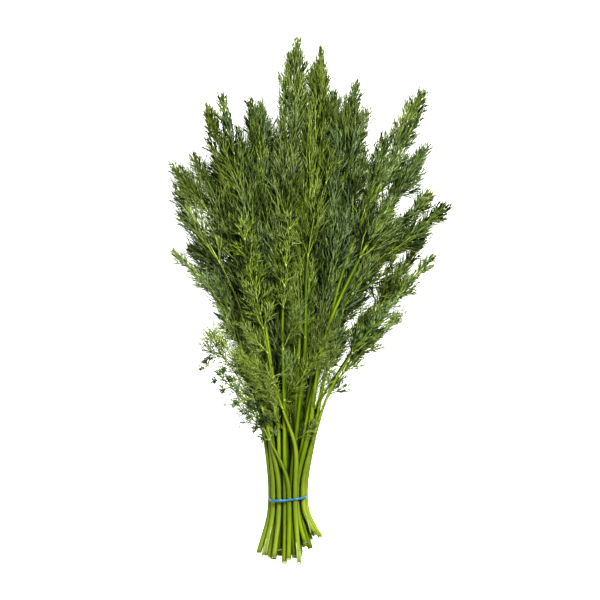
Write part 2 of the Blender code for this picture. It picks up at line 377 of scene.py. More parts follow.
# Cut flesh: the wet pale pith inside a stem, seen where the knife went through. It gives
# the ends of the stems a pale face, mottled by cells about 0.7 mm apart.
flesh, tree, surface = new_material("cut_stem_flesh", 0.35)
place = node(tree, "ShaderNodeTexCoord").outputs["Object"]
cells = node(tree, "ShaderNodeTexNoise", {"Scale": 1400.0, "Detail": 3.0}, {"Vector": place})
colour = node(tree, "ShaderNodeValToRGB", links={"Fac": cells.outputs["Fac"]},
              stops=((0.35, "#8E9A52"), (0.5, "#B8C288"), (0.65, "#D6DAB4")))
tree.links.new(colour.outputs["Color"], surface.inputs["Base Color"])


# ----------------------------------------
# Dill leaves
# A dill leaf forks three or four times, down to soft threads about half a millimetre
# thick. From the midrib grow pairs of side stalks, on them pairs of twigs, and on those
# the threads, all swept towards the tip and pressed together in the bunch.
# ----------------------------------------
FLOOR_CLEAR = 0.35 * MM         # the lowest that any part of a leaf lies
BEND_FROM = 3.0                 # height in mm below which shoots bend along the floor
TOP_FROM = 42 * MM              # height above which shoots lie down on the bunch
TOP_RISE = 7 * MM               # how far above that height they can still reach
LAST_SHOOT = 0.98               # the last shoot's place along its parent


class Shoots:
    """Many thin stalks at once, each a parabola: base + length * (way * t + bend * t * t)."""

    KEYS = ("base", "way", "bend", "up", "length", "tone", "hue")

    def __init__(self, base, way, bend, up, length, tone, hue):
        self.base, self.way, self.bend = base, way, bend
        self.up, self.length, self.tone, self.hue = up, length, tone, hue

    def at(self, t):
        t = np.asarray(t)[..., None]
        return self.base + self.length[:, None] * (self.way * t + self.bend * t * t)

    def direction(self, t):
        return unit(self.way + 2 * self.bend * np.asarray(t)[..., None])

    def pick(self, chosen):
        return Shoots(*(getattr(self, key)[chosen] for key in self.KEYS))


def join(groups):
    return Shoots(*(np.concatenate([getattr(g, key) for g in groups]) for key in Shoots.KEYS))


def sprout(base, forward, up, side, angle, lift, length, curl, tone, hue, rng, stray=0.05):
    """New shoots at base points. forward is the parent's direction, side is -1 or 1, angle
    is measured from forward, lift turns the shoot out of the leaf's plane, and curl bends
    it back towards forward."""
    across = unit(np.cross(forward, up)) * side[:, None]
    flat = unit(np.cross(across, forward))
    flat = flat * np.sign(np.sum(flat * up, axis=1, keepdims=True))
    away = np.cos(lift)[:, None] * across + np.sin(lift)[:, None] * flat
    way = np.cos(angle)[:, None] * forward + np.sin(angle)[:, None] * away
    back = forward - np.sum(forward * way, axis=1, keepdims=True) * way
    wander = rng.normal(0, stray, way.shape)
    bend = curl[:, None] * back + wander - np.sum(wander * way, axis=1, keepdims=True) * way
    return Shoots(base, way, bend, flat, length, tone, hue)


def branch(parent, step, reach, size, rng, angle, lift, curl, tone_spread, whorl, first=0.12,
           stray=0.05):
    """A whorl of shoots every step along each parent, from the share first of its length.
    whorl lists the shoots at one joint: side, share of the angle, share of the length, and
    turn out of the leaf's plane. reach is their length by place along the parent, and size
    limits it to the parent's."""
    bearing = LAST_SHOOT - first
    counts = np.maximum(1, np.round(bearing * parent.length / step)).astype(int)
    owner = np.repeat(np.arange(len(counts)), counts)
    order = np.arange(len(owner)) - np.repeat(np.cumsum(counts) - counts, counts)
    place = first + bearing * (order + 0.4) / counts[owner]
    place = place + rng.normal(0, 0.15, len(owner)) * step / parent.length[owner]
    grown = []
    for side, spread, share, turn in whorl:
        n = len(owner)
        t = place + rng.normal(0, 0.05, n) * step / parent.length[owner]
        t = np.clip(t, 0.02, LAST_SHOOT)
        chosen = parent.pick(owner)
        length = share * np.minimum(reach(t), size * chosen.length) * rng.uniform(0.75, 1.2, n)
        # Shoots open wider at the foot of their parent than at its tip
        narrowed = spread * angle * (1.2 - 0.6 * t) * rng.normal(1, 0.18, n)
        grown.append(sprout(
            chosen.at(t), chosen.direction(t), chosen.up, np.full(n, float(side)),
            np.radians(np.maximum(narrowed, 4)), rng.normal(turn, lift, n), length,
            rng.normal(curl, 0.10, n),
            np.clip(chosen.tone + rng.normal(0, tone_spread, n), 0.02, 0.92), chosen.hue,
            rng, stray))
    return join(grown)


def settle(points):
    """Low shoots bend along the floor, and the topmost tips lie down on the bunch."""
    z = points[..., 2] - FLOOR_CLEAR
    soft = MM * np.log1p(np.exp(np.clip(z / MM, -60, BEND_FROM)))
    low = soft * BEND_FROM / math.log1p(math.exp(BEND_FROM))
    z = np.where(z > BEND_FROM * MM, z, low)
    over = np.maximum(z - TOP_FROM, 0)
    points[..., 2] = FLOOR_CLEAR + z - over + TOP_RISE * np.tanh(over / (10 * MM))
    return points


def add_shoots(skin, shoots, radius, taper, rings, wears):
    """Closed three-sided tubes that narrow to a point, one per shoot."""
    count = len(shoots.length)
    if not count:
        return
    stops = np.linspace(0, 1, rings + 1)[:-1] ** 0.9
    radius = np.broadcast_to(radius, (count,))
    layers = []
    for t in stops:
        middle = shoots.at(np.full(count, t))
        forward = shoots.direction(np.full(count, t))
        side = unit(np.cross(forward, shoots.up))
        up = np.cross(side, forward)
        size = (radius * (1 - (1 - taper) * t))[:, None]
        for k in range(3):
            angle = 2 * math.pi * (k + 0.25) / 3
            layers.append(middle + size * (math.cos(angle) * side + math.sin(angle) * up))
    layers.append(shoots.at(np.ones(count)))
    vertices = settle(np.stack(layers, axis=1))
    each = 3 * rings + 1
    first = np.arange(count)[:, None, None] * each
    walls = []
    for ring in range(rings - 1):
        for k in range(3):
            a, b = 3 * ring + k, 3 * ring + (k + 1) % 3
            walls.append((a, a + 3, b + 3, b))
    ends = [(3 * rings - 3 + (k + 1) % 3, 3 * rings - 3 + k, each - 1) for k in range(3)]
    ends.append((0, 1, 2))
    # Each shoot's place on the pattern: tone across, hue up, a little more at its tip
    u = 0.02 + 0.44 * np.clip(shoots.tone, 0, 1)
    along = np.concatenate([np.repeat(stops, 3), [1.0]])
    across = np.concatenate([np.tile((-0.004, 0.0, 0.004), rings), [0.0]])
    v = 0.02 + 0.96 * np.clip(shoots.hue[:, None] + 0.16 * (along[None] - 0.5), 0, 1)

    def places(faces):
        made = np.zeros((count, len(faces), len(faces[0]), 2))
        made[..., 0] = u[:, None, None] + across[np.array(faces)]
        made[..., 1] = v[:, np.array(faces)]
        return made

    skin.add(vertices.reshape(-1, 3), (first + np.array(walls)).reshape(-1, 4), places(walls),
             wears)
    skin.add(None, (first + np.array(ends)).reshape(-1, 3), places(ends), wears)
    skin.close(count * each)


# Leaf threads: soft, matt and slightly waxy. From plume to plume the green runs from
# yellowish to the blue-grey of the wax, and each thread is lighter or darker than the next.
# Each copy of the material darkens the whole green by its own share, as painted shade for
# leaves that lie lower in the bunch.
def thread_material(name, painted_shade_depth, gloss):
    material, tree, surface = new_material(name, 0.42, gloss)
    place = node(tree, "ShaderNodeUVMap", uv_map="OFBake").outputs["UV"]
    parts = node(tree, "ShaderNodeSeparateXYZ", links={"Vector": place})
    tone = node(tree, "ShaderNodeMapRange", {"From Min": 0.02, "From Max": 0.46},
                {"Value": parts.outputs["X"]})
    bare = node(tree, "ShaderNodeValToRGB", links={"Fac": tone.outputs["Result"]},
                stops=((0.0, "#141C00"), (0.25, "#364602"), (0.5, "#5C6E0E"),
                       (0.75, "#82942E"), (0.9, "#9EAC54"), (1.0, "#C4CCA0")))
    waxy = node(tree, "ShaderNodeValToRGB", links={"Fac": tone.outputs["Result"]},
                stops=((0.0, "#141E0A"), (0.25, "#344822"), (0.5, "#546E42"),
                       (0.75, "#7A9268"), (0.9, "#96AA86"), (1.0, "#C4CCB0")))
    green = node(tree, "ShaderNodeMix", links={
        0: parts.outputs["Y"], 6: bare.outputs["Color"], 7: waxy.outputs["Color"],
    }, data_type="RGBA")
    # Painted shade: the whole green is multiplied by a share below one, darker for leaves lower
    # in the bunch
    colour = node(tree, "ShaderNodeMix", {0: 1.0, 7: (painted_shade_depth, painted_shade_depth, painted_shade_depth, 1.0)},
                  {6: green.outputs[2]}, data_type="RGBA", blend_type="MULTIPLY")
    tree.links.new(colour.outputs[2], surface.inputs["Base Color"])
    return material


thread_skins = [
    thread_material("dill_leaf_painted_shade_deepest", 0.52, 0.3),
    thread_material("dill_leaf_painted_shade_deep", 0.54, 0.5),
    thread_material("dill_leaf_painted_shade_half", 0.62, 0.6),
    thread_material("dill_leaf_painted_shade_least", 0.72, 0.6),
]


def along_route(route, start, end, tone, hue):
    """Pieces of the midrib from each start to each end, as shoots."""
    low, middle, high = route.at(start), route.at((start + end) / 2), route.at(end)
    reach = np.linalg.norm(high - low, axis=1)
    return Shoots(low, (4 * middle - 3 * low - high) / reach[:, None],
                  (2 * low + 2 * high - 4 * middle) / reach[:, None],
                  np.tile((0.0, 0, 1), (len(start), 1)), reach, np.full(len(start), tone),
                  np.full(len(start), hue))


def shade(points):
    """How far under the rest of the bunch points lie, from 0 at the top to 1 well inside."""
    over = np.zeros(len(points))
    for other in routes.values():
        y = points[:, 1]
        inside = (y > other.y[0]) & (y < other.tip)
        middle = other.at(y)
        aside = np.abs(points[:, 0] - middle[:, 0]) / np.interp(y, other.y, other.wide)
        above = np.clip((middle[:, 2] - points[:, 2] - 2 * MM) / (8 * MM), 0, 1)
        over += inside * above * np.clip(1.5 - 1.2 * aside, 0, 1)
    return np.clip((over - 0.3) / 1.4, 0, 1)


def grow_plumes(route, rng, tone, hue, style, early):
    """The side stalks of one leaf, and its midrib in pieces. The stalks' length keeps the
    leaf within its sprig's outline, and the midrib ends as one more stalk. early is how far
    below the outline's start the leaf begins."""
    first = route.leaf_from - early
    end = route.tip - style["short"]
    last = route.tip - style["terminal"] * (route.tip - first)
    count = max(2, int(round((last - first) / style["step"])))
    spots = np.linspace(first, last, count)
    spots = np.clip(spots + rng.uniform(-0.3, 0.3, count) * style["step"], first, last)
    roll = rng.uniform(-0.3, 0.3)
    groups = []
    for side, lift, narrow in style["ranks"]:
        y = np.clip(spots + rng.uniform(-0.04, 0.04, count) * style["step"], first, last)
        base, forward = route.at(y), route.direction(y)
        up = unit(np.array([math.sin(roll), 0, math.cos(roll)]) + 0 * forward)
        angle = np.radians(rng.normal(style["angle"] * narrow, style["scatter"], count))
        # A stalk's length to the outline depends on where it ends, so it is found in steps
        size = np.full(count, 30 * MM)
        for _ in range(10):
            end_y = y + size * np.cos(angle) * forward[:, 1]
            wide = np.interp(end_y, route.y, route.wide) * np.clip(forward[:, 1], 0.5, 1)
            room = np.maximum(route.tip - 7 * MM - style["short"] - y, 2 * MM)
            room = room / np.maximum(forward[:, 1], 0.5)
            reach = np.maximum(style["fill"] * wide - 3 * MM, 2 * MM)
            size = np.minimum(0.5 * size + 0.5 * reach / np.sin(angle), room)
        size = np.clip(size, style["shortest"], style["longest"])
        size = size * rng.uniform(0.85, 1.12, count)
        # The stalks end on a pointed outline, the last ones nearest the tip
        below = end - 2 * MM - y + style["over"]
        point = style["point"]
        pointed = point * below / (0.6 * np.sin(angle) + point * np.cos(angle))
        size = np.minimum(size, np.maximum(pointed, 4 * MM))
        # Painted light and shade: stalks that turn up out of the leaf's plane get a lighter
        # tone, and those that turn down a darker one
        groups.append(sprout(base, forward, up, np.full(count, float(side)), angle,
                             lift + rng.normal(0, 0.25, count), size,
                             rng.normal(style["sweep"], 0.08, count),
                             tone + 0.08 * math.sin(lift) + rng.normal(0.0, 0.12, count),
                             hue + rng.normal(0, 0.2, count), rng))
    groups.append(along_route(route, np.array([last]), np.array([end]), tone, hue))
    # Painted shade: stalks that lie under other sprigs get a darker tone, down to a floor of
    # 0.25
    for group in groups:
        ones = np.ones(len(group.length))
        under = np.minimum(shade(group.at(0.45 * ones)), shade(group.at(ones)))
        group.tone = np.maximum(group.tone - 0.42 * under, 0.25)
    pieces = max(1, int(round((last - first) / (30 * MM))))
    joints = np.linspace(first, last, pieces + 1)
    return join(groups), along_route(route, joints[:-1], joints[1:], tone, hue)


# The shoots at one joint: side, share of the angle, share of the length, and turn out of
# the leaf's plane
PAIR = ((-1, 1.0, 1.0, 0.0), (1, 1.0, 1.0, 0.0))
UNDER = ((-1, 1.0, 1.0, -0.1), (1, 1.0, 1.0, -0.1))
OVER = ((-1, 1.0, 1.05, 0.8), (1, 1.0, 1.05, 0.8))
BALL = ((-1, 1.3, 1.0, 0.0), (1, 1.3, 1.0, 0.0), (-1, 1.0, 1.0, 1.2), (1, 1.0, 1.0, 1.2),
        (-1, 0.6, 1.1, -0.6), (1, 0.5, 1.1, 0.6))

# Radii at the foot of each kind of shoot. Real threads are 0.3 to 0.5 mm thick, too fine to
# show one by one, so these are fewer and mostly a little thicker.
STALK = 0.46 * MM
JOINT = 0.70 * MM
TWIG_UNDER, TWIG_OVER = 0.34 * MM, 0.30 * MM
THREAD_UNDER, THREAD_OVER = 0.36 * MM, 0.235 * MM
BARE_STALK, BARE_MIDRIB = 0.36 * MM, 0.48 * MM
TIP_FINE = 0.62                 # how fine and close the twigs at the end of the leaf are


def grow_leaf(skin, stalks, spine, rng, style, jointed=slice(0, -1), ends=slice(-1, None)):
    """The stalks with all their twigs and threads. jointed are the stalks that leave the
    midrib, and ends are those that end the leaf."""
    thick = style["thick"]
    add_shoots(skin, stalks, STALK * thick, 0.45, 5, 3)
    # A pale swollen joint where each side stalk leaves the midrib
    joints = stalks.pick(jointed)
    bare = np.array((0, 0, style["bare"]))
    joints = Shoots(joints.base - 0.8 * MM * joints.way + bare, joints.way, 0 * joints.bend,
                    joints.up, 0 * joints.length + 2.6 * MM, 0 * joints.tone + 0.9, joints.hue)
    add_shoots(skin, joints, JOINT, 0.7, 2, 1)
    # The upper side of the midrib and stalks shows bare between the twigs
    for group, size in ((stalks.pick(jointed), BARE_STALK), (spine, BARE_MIDRIB)):
        if group is not None and style["bare"] > MM:
            group = Shoots(group.base + bare, group.way, group.bend, group.up,
                           0.8 * group.length, group.tone, group.hue)
            add_shoots(skin, group, size * thick, 0.55, 5, 3)
    top, longest = style["twig_length"], style["thread_length"]
    for whorl, painted_light_or_shade, sparse, thin_out, opens, longer in style["coats"]:
        twig_radius, thread_radius = TWIG_OVER, THREAD_OVER
        if painted_light_or_shade < 1:
            twig_radius, thread_radius = TWIG_UNDER, THREAD_UNDER
        twig_step = style["twig_step"] * sparse
        twig_angle = style["twig_angle"] * opens
        # Painted light and shade: each coat's tone is multiplied, up for the upper coat and down
        # for the lower one, here, on the midrib's twigs and at the tip
        parents = stalks.pick(slice(0, None))
        parents.tone = parents.tone * painted_light_or_shade
        twigs = [branch(
            parents, twig_step,
            lambda t: longer * top * np.minimum(1, 0.75 + 1.6 * t) * (1.08 - 0.45 * t), 0.8, rng,
            twig_angle, style["twig_lift"], style["twig_curl"], 0.10, whorl,
            style["twig_first"], style["stray"])]
        if style["spine"]:
            parents = spine.pick(slice(0, None))
            parents.tone = parents.tone * painted_light_or_shade
            twigs.append(branch(
                parents, twig_step, lambda t: top + 0 * t, 0.8, rng, twig_angle,
                style["twig_lift"], style["twig_curl"], 0.10, whorl, 0.0, style["stray"]))
        # Towards the leaf's tip the twigs are finer, stand closer together and make a point
        tip = stalks.pick(ends)
        tip.tone = tip.tone * painted_light_or_shade
        tips = branch(tip, style["tip_step"] * sparse, lambda t: top * (1.15 * longer - 0.7 * t),
                      0.6, rng, style["twig_angle"], 0.5, style["tip_curl"], 0.12, whorl, 0.05,
                      style["stray"])
        for group, fine in ((join(twigs), 1.0), (tips, TIP_FINE)):
            add_shoots(skin, group, twig_radius * thick * fine, 0.5, 3, 1)
            threads = branch(group, style["thread_step"] * thin_out * fine,
                             lambda t: longer * longest * (1.1 - 0.3 * t), 0.9, rng,
                             style["thread_angle"] * opens, style["thread_lift"],
                             style["thread_curl"], 0.12, PAIR, 0.1, style["stray"])
            threads.tone = threads.tone - 0.06
            add_shoots(skin, threads, thread_radius * thick * fine, 0.6, 2, 1)


# The coats of twigs on a leaf: the whorl at a joint, how much lighter or darker than the leaf
# (painted light on the upper coat, painted shade on the lower one), how much further apart the
# twigs and the threads stand, how much wider they open, how much longer
FULL = ((UNDER, 0.5, 1.0, 1.0, 1.0, 1.0), (OVER, 1.45, 1.3, 1.6, 1.1, 1.4))
SOLID = ((UNDER, 0.5, 0.8, 0.85, 1.0, 1.0), (OVER, 1.38, 1.3, 1.6, 1.1, 1.4))
AIRY = ((UNDER, 0.75, 1.6, 1.2, 1.0, 1.0), (OVER, 1.3, 1.3, 1.3, 1.0, 1.2))
LIGHT = ((UNDER, 0.45, 1.6, 1.3, 1.1, 1.0), (PAIR, 1.35, 1.0, 1.0, 1.0, 1.0))
SINGLE = ((PAIR, 1.15, 1.0, 1.0, 1.0, 1.0),)
ROUND = ((BALL, 1.0, 1.0, 1.0, 1.0, 1.0),)

# The kinds of leaf in the bunch. Angles are in degrees from the parent, and lifts in radians
# out of the leaf's plane.
PLUME = dict(
    # Side stalks: fill is the share of the outline they reach, sweep bends them to the tip,
    # ranks gives each one's side, lift and share of the angle, and bare is how high the
    # bare ridge stands on them
    step=24 * MM, angle=30, scatter=8, fill=1.1, shortest=28 * MM, longest=62 * MM,
    sweep=0.4, ranks=((-1, 0.0, 1.0), (1, 0.0, 1.0), (1, 1.2, 0.6)), bare=2.4 * MM,
    # The leaf's end: terminal is the share of the midrib that ends as one stalk, short is
    # how far it stops below the outline's tip, and over and point make its outline pointed
    terminal=0.25, short=5 * MM, over=6 * MM, point=0.45, tip_step=4 * MM, tip_curl=0.2,
    twig_step=5 * MM, twig_length=12 * MM, twig_angle=32, twig_lift=0.35, twig_curl=0.45,
    twig_first=0.18, thread_step=4.5 * MM, thread_length=9.5 * MM, thread_angle=26,
    thread_lift=0.8, thread_curl=0.45, stray=0.13, thick=1.0, spine=False, coats=FULL)
# Slim and swept, like the side of a flame
FLAME = dict(
    PLUME, step=13 * MM, terminal=0.16, angle=17, scatter=5, fill=0.75, sweep=0.5, over=0.0,
    point=0.27, shortest=34 * MM, ranks=((-1, 0.3, 1.0), (1, 0.3, 1.0)), twig_angle=26,
    twig_length=10 * MM, twig_curl=0.5, thread_angle=20, thread_curl=0.4, tip_step=3 * MM,
    tip_curl=0.4, coats=SOLID)
# Pressed flat underneath, coarse and full
LOW = dict(
    PLUME, bare=0.9 * MM, thick=1.6, fill=1.3, spine=True, twig_step=7 * MM, twig_first=0.1,
    twig_length=20 * MM, thread_length=13 * MM, thread_step=5 * MM, short=20 * MM,
    ranks=((-1, 0.0, 1.0), (1, 0.0, 1.0), (1, 1.2, 0.5), (-1, -0.4, 0.5)))
# Low at the side of the bunch, seen against the floor
EDGE = dict(
    LOW, thick=1.15, short=8 * MM, fill=0.8, twig_length=12 * MM, twig_step=5 * MM,
    thread_length=10 * MM, thread_step=4 * MM, shortest=22 * MM, terminal=0.12,
    tip_step=6 * MM)
# Broad and dense
THICK = dict(
    PLUME, coats=SOLID, fill=1.7, scatter=9, step=20 * MM, shortest=34 * MM,
    ranks=((-1, 0.0, 1.0), (1, 0.0, 1.0), (-1, 0.9, 0.6), (1, 0.7, 0.5)))
# On top, with its joints far apart
NODAL = dict(
    PLUME, step=28 * MM, angle=27, fill=1.5, shortest=36 * MM,
    ranks=((-1, 0.2, 1.0), (1, 0.2, 1.0), (-1, 0.9, 0.6), (1, 0.7, 0.4)))
# Short stalks all along, like an ear of grain
EAR = dict(
    PLUME, terminal=0.2, step=10 * MM, angle=40, scatter=7, fill=0.95, shortest=9 * MM,
    longest=24 * MM, sweep=0.3, thick=1.15,
    ranks=((-1, 0.0, 1.0), (1, 0.0, 1.0), (-1, 0.9, 0.8), (1, 0.9, 0.8)),
    twig_length=10 * MM, twig_angle=34, twig_first=0.15, coats=LIGHT,
    thread_step=3.9 * MM, thread_length=8 * MM, thread_curl=0.15)
# Loose and open
OPEN = dict(
    PLUME, bare=0.9 * MM, sweep=0.25, twig_angle=36, twig_curl=0.3, twig_length=14 * MM,
    thread_curl=0.15, thread_length=10 * MM, stray=0.08)
# Loose, with twigs and threads that curl back
CURLY = dict(
    OPEN, angle=34, scatter=12, fill=1.0, longest=40 * MM, spine=True, twig_angle=44,
    twig_curl=-0.15, thread_angle=40, thread_curl=-0.2, thick=1.15, stray=0.16,
    coats=SINGLE, twig_step=6 * MM, thread_step=3.6 * MM, twig_length=13 * MM)
# Young and bushy, with short threads
SPRAY = dict(
    PLUME, step=12 * MM, scatter=11, fill=1.2, shortest=14 * MM, longest=34 * MM,
    twig_length=8.5 * MM, twig_angle=34, thread_step=2.6 * MM, thread_length=5 * MM,
    thread_angle=28, thick=1.1, stray=0.1, coats=AIRY, spine=True, tip_step=6 * MM)
# Small round tufts
TUFT = dict(
    PLUME, bare=0.9 * MM, step=8 * MM, angle=52, scatter=12, fill=1.2, shortest=6 * MM,
    longest=15 * MM, sweep=-0.1, twig_step=2.4 * MM, terminal=0.12, coats=ROUND,
    twig_first=0.55, twig_length=5.5 * MM, twig_angle=50, twig_lift=0.5, twig_curl=0.1,
    thread_angle=45, thread_step=2.0 * MM, thread_length=3.0 * MM, thread_curl=-0.2,
    thick=1.2, stray=0.16)
# A small leaf that branches off low down on a stem
SIDE = dict(
    OPEN, coats=SINGLE, twig_first=0.42, twig_step=4 * MM, twig_length=10 * MM,
    thread_length=7.5 * MM, thread_step=3.2 * MM, twig_curl=0.25, thread_curl=0.1,
    stray=0.12, thick=0.95)


def grow_side_leaves(route, leaves, tone, hue, rng):
    """The stalks of the leaves that branch off low down on a stem."""
    height, side, angle, length = np.array(leaves, dtype=float).T
    y = height * MM
    forward = route.direction(y)
    count = len(y)
    return sprout(route.at(y), forward, np.tile((0.0, 0, 1), (count, 1)), side,
                  np.radians(angle), rng.normal(0.35, 0.1, count), length * MM,
                  rng.normal(0.3, 0.1, count), tone + rng.normal(0.0, 0.08, count),
                  hue + rng.normal(0, 0.1, count), rng, 0.08)


# ----------------------------------------
# Sprigs
# Each sprig is one piece: a stem and its leaf. Coarse leaves lie at the bottom of the bunch
# and finer ones on top, and the lower a leaf lies the darker its green is painted, as painted
# shade. Some stems bear small leaves low down, and on some the knife has torn strips of skin
# loose at the foot.
# ----------------------------------------
TONES = {"dill_blue_green": 0.57, "dill_mid_green": 0.58, "dill_yellow_green": 0.59}
HUES = {"dill_blue_green": 0.55, "dill_mid_green": 0.28, "dill_yellow_green": 0.06}

# By the sprig's number: its kind of leaf, how far in mm the leaf begins below its outline's
# start, and how much painted shade darkens its green: 0 the most, 1 more, 2 less, 3 the least
leaf_plan = {
    1: (dict(EDGE, fill=0.85, tone=0.92, coats=LIGHT), -12, 2),
    2: (dict(LOW, fill=1.7), 35, 0),
    3: (dict(LOW, fill=2.0), 5, 0),
    4: (EDGE, -35, 1),
    5: (dict(EDGE, fill=0.85, tone=0.92, coats=LIGHT), -8, 2),
    6: (dict(LOW, fill=2.0), 30, 0),
    7: (dict(LOW, short=52 * MM), 60, 0),
    8: (dict(FLAME, fill=1.4, point=0.6, short=3 * MM, hue=0.5), 50, 1),
    9: (dict(EDGE, fill=1.5, short=4 * MM), -25, 1),
    10: (dict(CURLY, tone=0.62, hue=0.2), -5, 2),
    11: (dict(PLUME, fill=1.7, coats=SOLID, spine=True), 25, 1),
    12: (FLAME, 45, 1),
    13: (dict(FLAME, fill=1.0, point=0.4, short=6 * MM), 70, 1),
    14: (dict(THICK, fill=2.1), 20, 1),
    15: (dict(SPRAY, fill=0.9), -8, 1),
    16: (dict(FLAME, tone=0.8, hue=0.4, coats=AIRY), -5, 2),
    17: (dict(PLUME, fill=1.5, coats=SOLID), 25, 1),
    18: (FLAME, 40, 1),
    19: (FLAME, 50, 1),
    20: (dict(FLAME, short=16 * MM), 65, 1),
    21: (THICK, 60, 1),
    22: (dict(THICK, tone=0.47, fill=1.3, terminal=0.2, spine=True, point=0.6,
              ranks=((-1, 0.0, 0.4), (1, 0.0, 1.0), (1, 0.9, 0.6), (1, 0.7, 0.3))), -30, 1),
    23: (dict(FLAME, tone=0.66, coats=FULL, fill=1.0), -32, 2),
    24: (dict(FLAME, hue=0.36, fill=0.5), -4, 2),
    25: (dict(FLAME, fill=1.0, step=11 * MM, point=0.36, short=7 * MM, tone=0.62), 60, 2),
    26: (dict(FLAME, fill=0.45), 60, 2),
    27: (dict(THICK, tone=0.46, point=0.30, scatter=12, coats=FULL, fill=2.0,
              longest=70 * MM, over=0), -3, 2),
    28: (SPRAY, -15, 2),
    29: (dict(CURLY, over=-8 * MM, fill=0.75, tone=0.8, hue=0.15, thick=1.35,
              ranks=((-1, 0.0, 0.9), (1, 0.0, 1.5), (1, 1.2, 1.1)), twig_curl=-0.3,
              thread_step=5 * MM, thread_curl=-0.4, thread_length=11 * MM), 0, 3),
    30: (dict(EAR, tone=0.57, hue=0.2), 0, 3),
    31: (dict(PLUME, tone=0.53), -3, 2),
    32: (dict(NODAL, tone=0.53), -15, 2),
    33: (dict(TUFT, tone=0.46, hue=0.7, thick=1.45), 0, 2),
    34: (dict(EAR, tone=0.57, hue=0.1), -50, 3),
}
# Small leaves low down on a stem: tone and hue, and for each its height in mm, side, angle
# from the stem and length in mm
side_leaves = {
    2: (0.30, 0.25, ((-112, 1, 12, 40), (-104, -1, 12, 36))),
    3: (0.30, 0.25, ((-112, -1, 10, 40), (-104, 1, 10, 34), (-118, 1, 8, 40))),
    20: (0.50, 0.25, ((-108, 1, 10, 36), (-98, -1, 12, 30))),
    24: (0.64, 0.25, ((-52, -1, 28, 30), (-84, -1, 24, 24))),
    26: (0.64, 0.25, ((-66, -1, 24, 32), (-40, 1, 26, 30))),
    27: (0.64, 0.25, ((-62, 1, 24, 34),)),
    30: (0.64, 0.25, ((-69, 1, 40, 50), (-92, -1, 16, 15), (-34, 1, 28, 30))),
    31: (0.64, 0.25, ((-50, 1, 44, 44), (-96, 1, 62, 18), (-26, -1, 30, 30))),
    32: (0.64, 0.25, ((-78, 1, 20, 36),)),
    34: (0.82, 0.06, ((-74, -1, 22, 34), (-58, -1, 30, 36), (-36, -1, 34, 26))),
}
# Which of the stem skins a sprig wears: those in front by number, and the rest in turn
front_stems = {22: 3, 23: 4, 27: 0, 28: 4, 29: 4, 30: 0, 31: 1, 32: 0, 34: 4}
SKINS_IN_TURN = (0, 3, 1, 0, 2, 4, 1, 0, 3, 1, 0)
# Torn strips of skin: how far aside they lie, and how long they are, in mm
torn_strips = {
    22: ((0.9, 15), (-0.8, 9)),
    23: ((0.7, 20), (-0.9, 12)),
    28: ((0.6, 16),),
    34: ((-0.8, 14), (0.9, 8)),
}
STRIP_HEIGHT = 1.25 * MM        # above the stem's middle, where a strip is held
STRIP_PAST = 2.5                # mm that its loose end reaches past the stem's foot
STRIP_RADIUS = 0.75 * MM
STRIP_TONE, STRIP_HUE = 0.84, 0.4


def torn_strip(route, aside, length):
    """A strip still held some way up the stem, with its loose end past the foot."""
    start = route.points[0, 1] + length * MM
    base = route.at(start) + (aside * MM, 0, STRIP_HEIGHT)
    way = -route.direction(start)
    return Shoots(base[None], way[None], np.array([[0.02 * aside, 0, 0.02]]),
                  np.array([[0.0, 0, 1]]), np.array([(length + STRIP_PAST) * MM]),
                  np.array([STRIP_TONE]), np.array([STRIP_HUE]))


slots = {part["node"]: part["material_slot"] for part in frame["record"]["subparts"]}
for index, (name, route) in enumerate(routes.items()):
    rng = np.random.default_rng(100 + index)
    skin = Skin()
    add_stem(skin, route, rng)
    style, early, painted_shade_depth = leaf_plan[route.number]
    tone = style.get("tone", TONES[slots[name]])
    hue = style.get("hue", HUES[slots[name]])
    stalks, spine = grow_plumes(route, rng, tone, hue, style, early * MM)
    grow_leaf(skin, stalks, spine, rng, style)
    if route.number in side_leaves:
        side_tone, side_hue, leaves = side_leaves[route.number]
        stalks = grow_side_leaves(route, leaves, side_tone, side_hue, rng)
        grow_leaf(skin, stalks, None, rng, SIDE, slice(None), slice(None))
    for aside, length in torn_strips.get(route.number, ()):
        add_shoots(skin, torn_strip(route, aside, length), STRIP_RADIUS, 0.8, 5, 1)
    in_turn = SKINS_IN_TURN[index % len(SKINS_IN_TURN)]
    stem_skin = stem_skins[front_stems.get(route.number, in_turn)]
    piece = skin.build("dill_" + name, [stem_skin, thread_skins[painted_shade_depth], flesh, stalk_skin])
    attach(piece, "root")
    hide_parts(name)


# ----------------------------------------
# Rubber band
# One thin blue rubber band holds the stems. It is a flat strip moulded as a loop, and it
# sits a little twisted and is pulled wider and thinner in places round the bunch.
# ----------------------------------------
BAND_STATIONS = 144
BAND_CORNERS = 12
BAND_WIDTH = 1.7 * MM
BAND_THICK = 1.0 * MM
BAND_CORNER_FLAT = 0.6          # squares off its round section
BAND_HUGS = 0.995               # pulled in against the stems
BAND_LEANS = 0.75               # of the lean of its solid
BAND_UP = 1.2 * MM              # moved up the stems
BAND_LOWEST = 0.8 * MM          # its middle line's lowest height above the floor
BAND_STRAIGHTENED = 0.8         # share of the solid's tilt from top to bottom taken out

hoop = frame["nodes"]["rubber_band"].data
corners = np.array([v.co for v in hoop.vertices])
middle = (corners.min(axis=0) + corners.max(axis=0)) / 2
around = np.arctan2(corners[:, 2] - middle[2], corners[:, 0] - middle[0])
turn = np.linspace(-np.pi, np.pi, BAND_STATIONS, endpoint=False)
weight = np.exp(8 * (np.cos(turn[:, None] - around[None]) - 1) / 0.05)
path = weight @ corners / weight.sum(axis=1, keepdims=True)
path = middle + (path - middle) * (BAND_HUGS, BAND_LEANS, BAND_HUGS) + (0, BAND_UP, 0)
path[:, 2] = np.maximum(path[:, 2], BAND_LOWEST)
